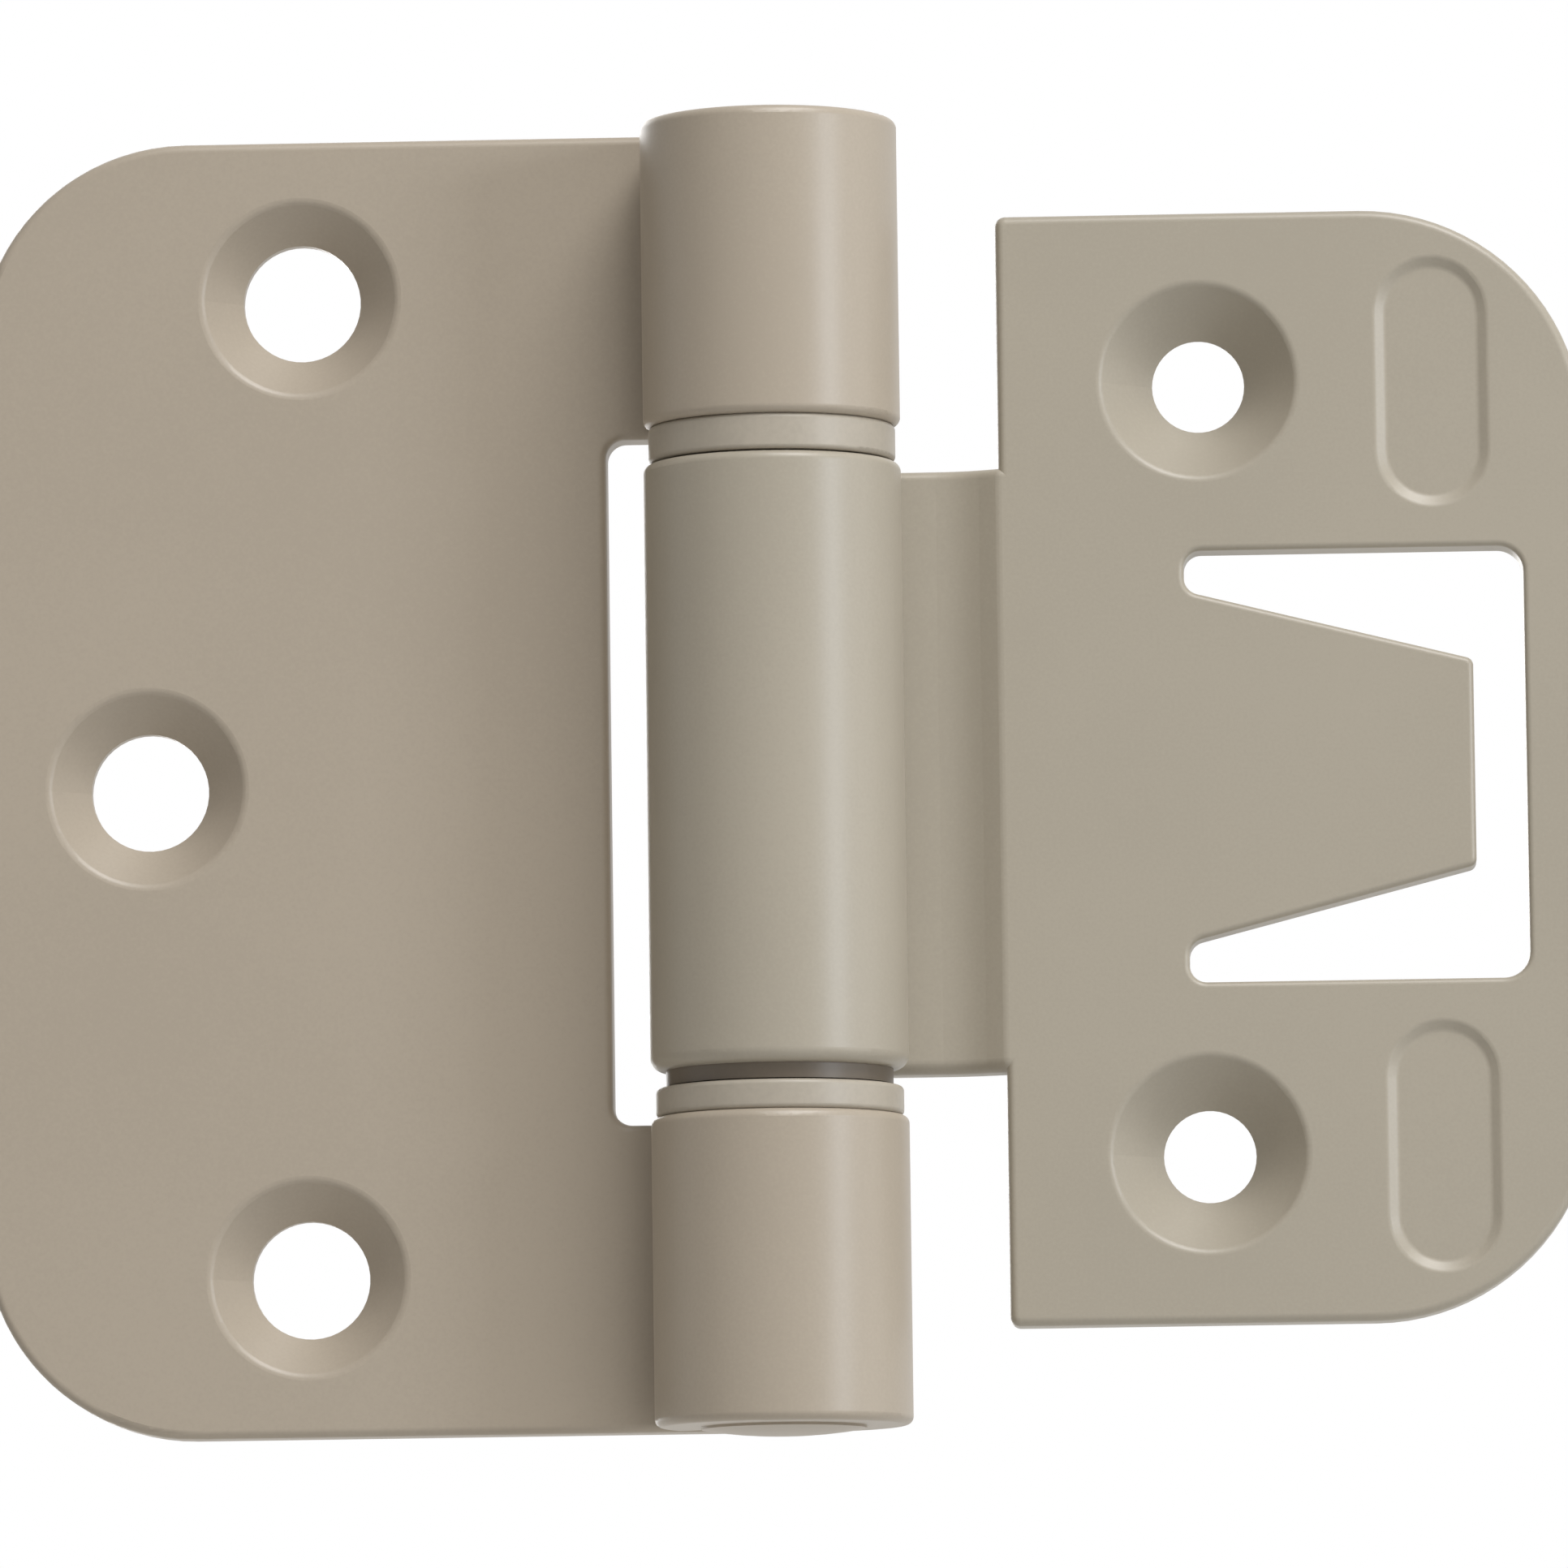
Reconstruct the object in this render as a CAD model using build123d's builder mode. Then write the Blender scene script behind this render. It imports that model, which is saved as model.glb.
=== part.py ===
"""Butt hinge with three rolled knuckles, standing open flat with its pin upright.

The pin's axis is Z and its middle is the origin. The frame leaf reaches towards -X and the door leaf
towards +X. The screws go in from the -Y side, and the backs of the leaves face +Y. Sizes are millimetres.
"""

import os
from math import acos, cos, degrees, radians, sin, tan

from build123d import *

os.makedirs("parts", exist_ok=True)

# Sheet
sheet = 3.2  # thickness of both leaves
edge_round = 0.5  # on the edges of the outline and of the knuckles
curl_end_round = 0.6  # on the corners of a curl's end
seam_gap = 0.2  # between the end of a curl and the front of its own leaf

# Pin, bushes and caps
pin_radius = 3.5
pin_chamfer = 0.6
pin_end_gap = 0.25  # to the plug of a cap
bush_end_gap = 0.25  # from the tube of a bush to the plug of a cap
bush_wall = 0.72
bush_edge = 0.3  # round on the edges of a flange
upper_flange = 2.1  # thickness
lower_flange = 1.7
flange_step = 0.3  # from the outside of a knuckle in to a flange
running_gap = 0.05  # radial, between the pin and a bush or the sleeve
seat_gap = 0.03  # radial, between a bush, the sleeve or a cap and its knuckle
sleeve_recess = 0.15  # from the upper end of the middle knuckle in to the sleeve
collar_step = 0.9  # from the outside of the middle knuckle in to the sleeve's collar
collar_thickness = 0.9
cap_plug = 3.2  # depth of a cap in its knuckle
cap_lip = 0.5  # from the bore out to the edge of the cap's head
cap_rim = 0.15  # height of the head's upright edge
cap_dome = 0.4  # rise of the dome above that edge

# Frame leaf: the tall one, with the two end knuckles
leaf_height = 76.2
leaf_reach = 46.8  # from the pin's axis to the outer edge
leaf_corner = 12.3
knuckle_space = 40.3  # between the end knuckles
slot_clearance = 2.4  # from the middle knuckle to the side of the slot
slot_corner = 1.1
frame_hole = 3.45
outer_screw_reach = 27.8  # from the pin's axis
middle_screw_reach = 37.0
frame_screw_inset = 9.3  # from the top and bottom edges to the outer screws

# Door leaf: the short one, with the middle knuckle
upper_play = 0.1  # along the pin, from the upper flange to the middle knuckle
lower_play = 0.1  # from the collar under that knuckle to the lower flange
joggle = 1.1  # from the front of the neck forward to the front of the plate
joggle_bend = 6.0  # inside radius of the bend in the neck
joggle_slope = 25  # of the neck where it comes forward
crease_round = 0.9  # where the neck meets the plate
neck_round = 0.8  # on the lower edges of the neck and its knuckle
plate_inset = 5.6  # from the side of the knuckle to the plate
plate_width = 34.2
plate_height = 65.1
plate_corner = 12.9
plate_inner_corner = 0.6
door_hole = 2.7
door_screw_offset = 11.75  # from the plate's inner edge
door_screw_inset = 9.9  # from the top and bottom edges of the plate

# Countersinks of both leaves
sink_radius = 5.75
sink_angle = 90
sink_round = 0.6

# Window with its tongue
window_height = 25.3
window_length = 19.8
window_wall = 3.65  # from the window to the plate's outer edge
window_corner = 1.5
slit_corner = 1.0  # in the two narrow ends of the window
tongue_gap = 3.0  # from the end of the tongue to the window's far side
tongue_end = 12.1  # height of the tongue's end
tongue_slope = 14.2
tongue_corner = 0.5
window_round = 0.35  # on the edges of the window and the tongue

# Oval pads above and below the window
pad_width = 6.6
pad_height = 14.7
pad_depth = 0.35
pad_draft = 60  # of the pad's wall, away from upright
pad_round = 0.5  # at the rim and the foot of that wall
pad_reach = 8.8  # from the plate's outer edge to the middle of a pad
pad_rise = 22.4  # from the middle of the plate

# What follows from these sizes
bush_bore = pin_radius + running_gap
bore = bush_bore + bush_wall + seat_gap
knuckle = bore + sheet
leaf_front = knuckle - sheet
curl_turn = 360 - degrees(acos((leaf_front - seam_gap) / knuckle))
end_knuckle = (leaf_height - knuckle_space) / 2
frame_screw_rise = leaf_height / 2 - frame_screw_inset
flange = knuckle - flange_step
collar = knuckle - collar_step
dome_radius = ((bore + cap_lip) ** 2 + cap_dome**2) / (2 * cap_dome)
middle_top = knuckle_space / 2 - upper_flange - upper_play
middle_bottom = -knuckle_space / 2 + lower_flange + lower_play + collar_thickness
middle_knuckle = middle_top - middle_bottom
door_middle = (middle_top + middle_bottom) / 2
plate_front = leaf_front - joggle
plate_inner = knuckle + plate_inset
plate_outer = plate_inner + plate_width
door_screw_reach = plate_inner + door_screw_offset
door_screw_rise = plate_height / 2 - door_screw_inset

# Where the neck bends
slope = radians(joggle_slope)
straight_rise = joggle - joggle_bend * (1 - cos(slope))
bend_start = plate_inner - straight_rise / tan(slope) - joggle_bend * sin(slope)
bend_centre = (bend_start, leaf_front - joggle_bend)
front_crease = (plate_inner, plate_front)
back_crease = (plate_inner + sheet * tan(slope / 2), plate_front + sheet)
neck_end = plate_inner + 2 * sheet

# The window
window_side = plate_outer - window_wall
window_root = window_side - window_length
tongue_tip = window_side - tongue_gap
tongue_root = tongue_end + 2 * (tongue_tip - window_root) * tan(radians(tongue_slope))

leaf_face = Plane(origin=(0, leaf_front, 0), x_dir=(1, 0, 0), z_dir=(0, -1, 0))
plate_face = Plane(origin=(0, plate_front, door_middle), x_dir=(1, 0, 0), z_dir=(0, -1, 0))


def lies_at(*places):
    """A test that picks the vertices at these places."""
    return lambda vertex: min((Vector(vertex) - Vector(place)).length for place in places) < 0.01


def rim_edges(part, radius):
    """The circles of that radius on a part."""
    circles = part.edges().filter_by(GeomType.CIRCLE)
    return circles.filter_by(lambda edge: abs(edge.radius - radius) < 1e-4)


# The frame leaf is a flat sheet whose edge goes once round the pin, from the back to the front, and
# stops just short of its own front face.
with BuildPart() as frame_leaf:
    with BuildSketch(Plane.XY.offset(-leaf_height / 2)) as strip:
        with BuildLine():
            outside = CenterArc((0, 0), knuckle, 90, -curl_turn)
            inside = CenterArc((0, 0), bore, 90, -curl_turn)
            Line(outside @ 1, inside @ 1)
            Polyline(inside @ 0, (-leaf_reach, leaf_front), (-leaf_reach, knuckle), outside @ 0)
        make_face()
        fillet(strip.vertices().filter_by(lies_at(outside @ 1, inside @ 1)), curl_end_round)
    extrude(amount=leaf_height)
    fillet(frame_leaf.edges().filter_by(Axis.Y).group_by(Axis.X)[0], leaf_corner)
    with BuildSketch(leaf_face) as slot:
        with Locations((-knuckle - slot_clearance, 0)):
            Rectangle(3 * knuckle, knuckle_space, align=(Align.MIN, Align.CENTER))
        fillet(slot.vertices().group_by(Axis.X)[0], slot_corner)
    extrude(amount=2 * knuckle, both=True, mode=Mode.SUBTRACT)
    fillet(frame_leaf.faces().filter_by(Plane.XZ).edges().filter_by(Axis.X), edge_round)
    with Locations(leaf_face):
        with Locations(
            (-outer_screw_reach, frame_screw_rise),
            (-middle_screw_reach, 0),
            (-outer_screw_reach, -frame_screw_rise),
        ):
            CounterSinkHole(frame_hole, sink_radius, counter_sink_angle=sink_angle)
    fillet(rim_edges(frame_leaf, sink_radius), sink_round)
frame_leaf.part.label = "frame_leaf"
export_step(frame_leaf.part, "parts/frame_leaf.step")

# The plate is blanked with round outer corners and a window that goes round three sides of its tongue.
with BuildPart() as plate:
    with BuildSketch(plate_face) as outline:
        with Locations((plate_inner, 0)):
            Rectangle(plate_width, plate_height, align=(Align.MIN, Align.CENTER))
        fillet(outline.vertices().group_by(Axis.X)[-1], plate_corner)
        fillet(outline.vertices().group_by(Axis.X)[0], plate_inner_corner)
    extrude(amount=-sheet)
    fillet(plate.faces().filter_by(Plane.XZ).edges(), edge_round)
    with BuildSketch(plate_face) as window:
        with Locations((window_side, 0)):
            Rectangle(window_length, window_height, align=(Align.MAX, Align.CENTER))
        fillet(window.vertices().group_by(Axis.X)[-1], window_corner)
        with BuildLine():
            Polyline(
                (window_root, tongue_root / 2),
                (tongue_tip, tongue_end / 2),
                (tongue_tip, -tongue_end / 2),
                (window_root, -tongue_root / 2),
                close=True,
            )
        make_face(mode=Mode.SUBTRACT)
        fillet(window.vertices().group_by(Axis.X)[1], tongue_corner)
        fillet(window.vertices().group_by(Axis.X)[0], slit_corner)
    extrude(amount=2 * sheet, both=True, mode=Mode.SUBTRACT)
    window_edges = plate.edges(Select.LAST).group_by(Axis.Y)
    fillet(window_edges[0] + window_edges[-1], window_round)

# The door leaf's knuckle runs into a neck, which bends forward and flattens out into the plate.
with BuildPart() as door_leaf:
    with BuildSketch(Plane.XY.offset(middle_bottom)) as neck:
        with BuildLine():
            outside = CenterArc((0, 0), knuckle, 90, curl_turn)
            inside = CenterArc((0, 0), bore, 90, curl_turn)
            Line(outside @ 1, inside @ 1)
            Line(inside @ 0, (bend_start, leaf_front))
            front_bend = CenterArc(bend_centre, joggle_bend, 90, -joggle_slope)
            Line(outside @ 0, (bend_start, knuckle))
            back_bend = CenterArc(bend_centre, joggle_bend + sheet, 90, -joggle_slope)
            Polyline(
                front_bend @ 1,
                front_crease,
                (neck_end, plate_front),
                (neck_end, plate_front + sheet),
                back_crease,
                back_bend @ 1,
            )
        make_face()
        fillet(neck.vertices().filter_by(lies_at(outside @ 1, inside @ 1)), curl_end_round)
        fillet(neck.vertices().filter_by(lies_at(front_crease, back_crease)), crease_round)
    extrude(amount=middle_knuckle)
    neck_edges = door_leaf.edges().filter_by(Axis.X).group_by(Axis.Z)
    fillet(neck_edges[-1], edge_round)
    fillet(neck_edges[0], neck_round)
    add(plate.part)
    with Locations(plate_face):
        with Locations((door_screw_reach, door_screw_rise), (door_screw_reach, -door_screw_rise)):
            CounterSinkHole(door_hole, sink_radius, counter_sink_angle=sink_angle)
    fillet(rim_edges(door_leaf, sink_radius), sink_round)
    with BuildSketch(plate_face):
        with Locations((plate_outer - pad_reach, pad_rise), (plate_outer - pad_reach, -pad_rise)):
            SlotOverall(pad_height, pad_width, rotation=90)
    extrude(amount=-pad_depth, taper=pad_draft, mode=Mode.SUBTRACT)
    pad_edges = door_leaf.edges(Select.LAST).group_by(Axis.Y)
    fillet(pad_edges[0] + pad_edges[-1], pad_round)
door_leaf.part.label = "door_leaf"
export_step(door_leaf.part, "parts/door_leaf.step")

# One bush for each end knuckle: a thin tube pressed into the knuckle, with a flange against its inner
# end. The lower flange is the thinner one.
bush_length = end_knuckle - cap_plug - bush_end_gap


def upright_bush(flange_thickness):
    """The bush of the upper knuckle, with a flange of that thickness."""
    with BuildPart() as bush:
        with BuildSketch(Plane.XZ):
            with Locations((bush_bore, knuckle_space / 2)):
                Rectangle(bush_wall, bush_length, align=(Align.MIN, Align.MIN))
                Rectangle(flange - bush_bore, flange_thickness, align=(Align.MIN, Align.MAX))
        revolve(axis=Axis.Z)
        fillet(rim_edges(bush, flange), bush_edge)
    return bush.part


upper_bush = upright_bush(upper_flange)
upper_bush.label = "upper_bush"
export_step(upper_bush, "parts/upper_bush.step")

lower_bush = mirror(upright_bush(lower_flange), about=Plane.XY)
lower_bush.label = "lower_bush"
export_step(lower_bush, "parts/lower_bush.step")

# The sleeve lines the middle knuckle, and the collar at its lower end carries the door leaf.
with BuildPart() as middle_sleeve:
    with BuildSketch(Plane.XZ):
        with Locations((bush_bore, middle_bottom)):
            Rectangle(bush_wall, middle_knuckle - sleeve_recess, align=(Align.MIN, Align.MIN))
            Rectangle(collar - bush_bore, collar_thickness, align=(Align.MIN, Align.MAX))
    revolve(axis=Axis.Z)
middle_sleeve.part.label = "middle_sleeve"
export_step(middle_sleeve.part, "parts/middle_sleeve.step")

# The pin runs through all three, between the plugs of the two caps.
with BuildPart() as hinge_pin:
    with BuildSketch(Plane.XY):
        Circle(pin_radius)
    extrude(amount=leaf_height / 2 - cap_plug - pin_end_gap, both=True)
    chamfer(rim_edges(hinge_pin, pin_radius), pin_chamfer)
hinge_pin.part.label = "hinge_pin"
export_step(hinge_pin.part, "parts/hinge_pin.step")

# A cap closes each end of the barrel: a plug in the bore under a low domed head.
with BuildPart() as upper_cap:
    with BuildSketch(Plane.XZ):
        with BuildLine():
            Polyline(
                (0, leaf_height / 2 + cap_rim + cap_dome),
                (0, leaf_height / 2 - cap_plug),
                (bore - seat_gap, leaf_height / 2 - cap_plug),
                (bore - seat_gap, leaf_height / 2),
                (bore + cap_lip, leaf_height / 2),
                (bore + cap_lip, leaf_height / 2 + cap_rim),
            )
            dome_start = (bore + cap_lip, leaf_height / 2 + cap_rim)
            RadiusArc(dome_start, (0, leaf_height / 2 + cap_rim + cap_dome), -dome_radius)
        make_face()
    revolve(axis=Axis.Z)
upper_cap.part.label = "upper_cap"
export_step(upper_cap.part, "parts/upper_cap.step")

with BuildPart() as lower_cap:
    add(mirror(upper_cap.part, about=Plane.XY))
lower_cap.part.label = "lower_cap"
export_step(lower_cap.part, "parts/lower_cap.step")
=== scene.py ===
from math import radians

import bmesh
import bpy
from mathutils import Matrix, Vector

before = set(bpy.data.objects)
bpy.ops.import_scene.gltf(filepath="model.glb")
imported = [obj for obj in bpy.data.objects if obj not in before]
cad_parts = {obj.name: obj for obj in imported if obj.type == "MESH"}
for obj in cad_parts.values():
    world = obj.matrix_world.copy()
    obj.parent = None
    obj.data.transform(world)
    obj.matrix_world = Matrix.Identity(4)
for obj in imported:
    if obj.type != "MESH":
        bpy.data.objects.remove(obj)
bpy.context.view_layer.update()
print("frame loaded:", ", ".join(sorted(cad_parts)))


# Shader nodes. An input is either a value or the output of another node
def addNode(tree, kind, inputs=None, **settings):
    node = tree.nodes.new("ShaderNode" + kind)
    for name, value in settings.items():
        setattr(node, name, value)
    for name, value in (inputs or {}).items():
        if isinstance(value, bpy.types.NodeSocket):
            tree.links.new(value, node.inputs[name])
        else:
            node.inputs[name].default_value = value
    return node


def newMaterial(name):
    material = bpy.data.materials.new(name)
    material.use_nodes = True
    tree = material.node_tree
    tree.nodes.clear()
    place = addNode(tree, "TexCoord").outputs["Object"]
    return material, tree, place


def finishMaterial(tree, shader):
    addNode(tree, "OutputMaterial", {"Surface": shader.outputs[0]})


def shade(colour, factor):
    return tuple(channel * factor for channel in colour) + (1,)


# Roughness that a noise moves up and down within the finish's spread
def unevenGloss(tree, noise, look):
    limits = {
        "Value": noise,
        "To Min": look["roughness"] - look["roughnessSpread"],
        "To Max": look["roughness"] + look["roughnessSpread"],
    }
    return addNode(tree, "MapRange", limits).outputs[0]


mottling = {
    "cloudDetail": 3,
    "grainDetail": 2,
    "darkest": 0.7,  # sum of the two noises at and below which the finish is darkest
    "lightest": 1.3,
}


# Two noises, a cloud and a grain, that vary a finish's colour and gloss a little
def mottle(tree, place, look):
    cloudSettings = {
        "Vector": place,
        "Scale": 1 / look["cloudSize"],
        "Detail": mottling["cloudDetail"],
    }
    grainSettings = {
        "Vector": place,
        "Scale": 1 / look["grainSize"],
        "Detail": mottling["grainDetail"],
    }
    cloud = addNode(tree, "TexNoise", cloudSettings).outputs["Fac"]
    grain = addNode(tree, "TexNoise", grainSettings).outputs["Fac"]
    blend = addNode(tree, "Math", {0: cloud, 1: grain}, operation="ADD").outputs[0]
    spread = addNode(
        tree,
        "MapRange",
        {"Value": blend, "From Min": mottling["darkest"], "From Max": mottling["lightest"]},
        interpolation_type="SMOOTHSTEP",
    ).outputs[0]
    darker = shade(look["colour"], 1 - look["colourSpread"])
    lighter = shade(look["colour"], 1 + look["colourSpread"])
    # 6 and 7 are the Mix node's colour inputs and 2 is its colour output
    mix = addNode(tree, "Mix", {"Factor": spread, 6: darker, 7: lighter}, data_type="RGBA")
    return grain, mix.outputs[2], unevenGloss(tree, cloud, look)


def bumped(tree, height, depth, under=None):
    inputs = {"Height": height, "Distance": depth, "Strength": 1}
    if under:
        inputs["Normal"] = under.outputs[0]
    return addNode(tree, "Bump", inputs)


# Powder-coated steel: a satin coat with a faint orange peel and a fine grain in its colour
# The frame leaf's colour is partly its own, a slightly redder hue than the door leaf's, and
# partly painted light: it is lighter to make up for the lamps lighting the left side less
framePaintWithPaintedLight = {
    "colour": (0.404, 0.345, 0.273),
    "colourSpread": 0.025,
    "roughness": 0.4,
    "roughnessSpread": 0.03,
    "ior": 1.5,
    "cloudSize": 0.02,  # m, as the sizes below are
    "grainSize": 0.0002,
    "grainDepth": 0.0000015,
    "peelSize": 0.0012,
    "peelDepth": 0.000006,
    "peelDetail": 1,
}
doorPaint = {**framePaintWithPaintedLight, "colour": (0.385, 0.343, 0.275)}


def paintedSteel(name, paint):
    material, tree, place = newMaterial(name)
    grain, colour, gloss = mottle(tree, place, paint)
    peelSettings = {
        "Vector": place,
        "Scale": 1 / paint["peelSize"],
        "Detail": paint["peelDetail"],
    }
    peel = addNode(tree, "TexNoise", peelSettings)
    grainBump = bumped(tree, grain, paint["grainDepth"])
    peelBump = bumped(tree, peel.outputs["Fac"], paint["peelDepth"], grainBump)
    coat = {
        "Base Color": colour,
        "Roughness": gloss,
        "IOR": paint["ior"],
        "Normal": peelBump.outputs[0],
    }
    finishMaterial(tree, addNode(tree, "BsdfPrincipled", coat))
    return material


# Moulded bushes in the colour of the paint, a little duller, and a sleeve whose near-black
# brown is painted shade for the deep shade in the gaps between the knuckles
bushPlastic = {
    "colour": (0.405, 0.36, 0.295),
    "colourSpread": 0.035,
    "roughness": 0.42,
    "roughnessSpread": 0.04,
    "ior": 1.48,
    "cloudSize": 0.004,  # m, as the sizes below are
    "grainSize": 0.00035,
    "grainDepth": 0.000003,
}
# The sleeve's dark colour is painted shade: it darkens the gaps between the knuckles, where the
# sleeve shows
sleevePaintedShade = {**bushPlastic, "colour": (0.13, 0.103, 0.074)}


def mouldedPlastic(name, plastic):
    material, tree, place = newMaterial(name)
    grain, colour, gloss = mottle(tree, place, plastic)
    skin = {
        "Base Color": colour,
        "Roughness": gloss,
        "IOR": plastic["ior"],
        "Normal": bumped(tree, grain, plastic["grainDepth"]).outputs[0],
    }
    finishMaterial(tree, addNode(tree, "BsdfPrincipled", skin))
    return material


# The pin is drawn bar, with fine lines along it
pinSteel = {
    "colour": (0.42, 0.39, 0.35),
    "roughness": 0.3,
    "roughnessSpread": 0.06,
    "lineSize": 0.00015,  # m, across a line
    "lineStretch": 60,
    "lineDepth": 0.000002,  # m
    "lineDetail": 2,
}


def drawnSteel(name, steel):
    material, tree, place = newMaterial(name)
    across = 1 / steel["lineSize"]
    stretch = (across, across, across / steel["lineStretch"])
    along = addNode(tree, "Mapping", {"Vector": place, "Scale": stretch})
    lineSettings = {"Vector": along.outputs[0], "Scale": 1, "Detail": steel["lineDetail"]}
    lines = addNode(tree, "TexNoise", lineSettings).outputs["Fac"]
    bar = {
        "Base Color": (*steel["colour"], 1),
        "Metallic": 1,
        "Roughness": unevenGloss(tree, lines, steel),
        "Normal": bumped(tree, lines, steel["lineDepth"]).outputs[0],
    }
    finishMaterial(tree, addNode(tree, "BsdfPrincipled", bar))
    return material


def dress(node, material):
    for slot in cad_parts[node].material_slots:
        slot.material = material


framePaintWithPaintedLightMaterial = paintedSteel("framePaintWithPaintedLight", framePaintWithPaintedLight)
doorPaintMaterial = paintedSteel("doorPaint", doorPaint)
dress("frame_leaf", framePaintWithPaintedLightMaterial)
dress("upper_cap", framePaintWithPaintedLightMaterial)
dress("lower_cap", framePaintWithPaintedLightMaterial)
dress("door_leaf", doorPaintMaterial)
bushPlasticMaterial = mouldedPlastic("bushPlastic", bushPlastic)
dress("upper_bush", bushPlasticMaterial)
dress("lower_bush", bushPlasticMaterial)
dress("middle_sleeve", mouldedPlastic("sleevePaintedShade", sleevePaintedShade))
dress("hinge_pin", drawnSteel("pinSteel", pinSteel))
print("materials done")


# Turn to the right of straight ahead, rise above level and roll, all in degrees
def aim(turn, rise, roll=0):
    return (
        Matrix.Rotation(radians(turn), 4, "Z")
        @ Matrix.Rotation(radians(90 - rise), 4, "X")
        @ Matrix.Rotation(radians(roll), 4, "Z")
    )


# Square lamps that all point at the middle of the hinge
lampDistance = 1.0  # m
lamps = {  # turn and rise in degrees, size in m, power in W
    "keyLight": {"turn": 30, "rise": 55, "size": 0.5, "power": 8.6, "colour": (1, 1, 1)},
    "sideLight": {"turn": 56, "rise": 8, "size": 0.2, "power": 2.65, "colour": (0.93, 1, 1.09)},
    "edgeLight": {"turn": 90, "rise": 5, "size": 0.5, "power": 0.85, "colour": (1, 1, 1)},
    "backLight": {"turn": 205, "rise": 8, "size": 0.6, "power": 5, "colour": (1, 1, 1)},
}
for name, settings in lamps.items():
    data = bpy.data.lights.new(name, "AREA")
    data.shape = "SQUARE"
    data.size = settings["size"]
    data.energy = settings["power"]
    data.color = settings["colour"]
    lamp = bpy.data.objects.new(name, data)
    bpy.context.scene.collection.objects.link(lamp)
    turned = aim(settings["turn"], settings["rise"])
    lamp.matrix_world = Matrix.Translation(turned @ Vector((0, 0, lampDistance))) @ turned
print("lamps done")


# 1 for rays from the camera, in a reflection or through glass, and 0 for light on things
def seenRays(tree):
    rays = addNode(tree, "LightPath").outputs
    direct = {0: rays["Is Camera Ray"], 1: rays["Is Glossy Ray"]}
    seen = addNode(tree, "Math", direct, operation="MAXIMUM").outputs[0]
    through = {0: seen, 1: rays["Is Transmission Ray"]}
    return addNode(tree, "Math", through, operation="MAXIMUM").outputs[0]


# The floor is a round sheet that fades out towards its rim, so that no horizon shows
floorSheet = {
    "height": -0.1,  # m, as the radius is
    "radius": 0.9,
    "fadeStart": 0.4,  # share of the radius
    "sides": 96,
    "colour": (0.7, 0.7, 0.69),
    "glow": 0.3,  # seen by the camera and in reflections, but lights nothing
}
floorMaterial, tree, place = newMaterial("floorMaterial")
reach = addNode(tree, "VectorMath", {0: place}, operation="LENGTH").outputs["Value"]
fadeLimits = {
    "Value": reach,
    "From Min": floorSheet["radius"] * floorSheet["fadeStart"],
    "From Max": floorSheet["radius"],
}
fade = addNode(tree, "MapRange", fadeLimits, interpolation_type="SMOOTHSTEP").outputs[0]
matt = addNode(tree, "BsdfDiffuse", {"Color": (*floorSheet["colour"], 1)}).outputs[0]
glowFactors = {0: seenRays(tree), 1: floorSheet["glow"]}
strength = addNode(tree, "Math", glowFactors, operation="MULTIPLY").outputs[0]
glow = addNode(tree, "Emission", {"Strength": strength}).outputs[0]
pale = addNode(tree, "AddShader", {0: matt, 1: glow}).outputs[0]
clear = addNode(tree, "BsdfTransparent").outputs[0]
finishMaterial(tree, addNode(tree, "MixShader", {0: fade, 1: pale, 2: clear}))

mesh = bpy.data.meshes.new("floor")
shape = bmesh.new()
bmesh.ops.create_circle(
    shape, cap_ends=True, radius=floorSheet["radius"], segments=floorSheet["sides"]
)
bmesh.ops.translate(shape, verts=shape.verts, vec=(0, 0, floorSheet["height"]))
shape.to_mesh(mesh)
shape.free()
mesh.materials.append(floorMaterial)
floor = bpy.data.objects.new("floor", mesh)
bpy.context.scene.collection.objects.link(floor)
print("floor done")

# The world is a soft, slightly warm fill that shows as white
studioFill = {"colour": (1, 0.94, 0.84), "strength": 0.188}
world = bpy.data.worlds.new("studioWorld")
bpy.context.scene.world = world
world.use_nodes = True
tree = world.node_tree
tree.nodes.clear()
fill = {"Color": (*studioFill["colour"], 1), "Strength": studioFill["strength"]}
lit = addNode(tree, "Background", fill).outputs[0]
white = addNode(tree, "Background", {"Color": (1, 1, 1, 1), "Strength": 1}).outputs[0]
mixed = addNode(tree, "MixShader", {0: seenRays(tree), 1: lit, 2: white}).outputs[0]
addNode(tree, "OutputWorld", {"Surface": mixed})

cameraView = {
    "turn": 2.07,  # degrees, to the right of straight ahead
    "rise": -5.8,
    "roll": -0.74,
    "distance": 0.8,  # m, from the target
    "target": (0.00046, 0, -0.00074),
    "lens": 315.94,  # mm, as the sensor is
    "sensor": 36,
    "clipStart": 0.05,  # m
}
cameraData = bpy.data.cameras.new("camera")
cameraData.lens = cameraView["lens"]
cameraData.sensor_width = cameraView["sensor"]
cameraData.clip_start = cameraView["clipStart"]
camera = bpy.data.objects.new("camera", cameraData)
bpy.context.scene.collection.objects.link(camera)
turned = aim(cameraView["turn"], cameraView["rise"], cameraView["roll"])
away = turned @ Vector((0, 0, cameraView["distance"]))
camera.matrix_world = Matrix.Translation(Vector(cameraView["target"]) + away) @ turned
bpy.context.scene.camera = camera
bpy.context.scene.view_settings.view_transform = "Standard"
print("world and camera done")
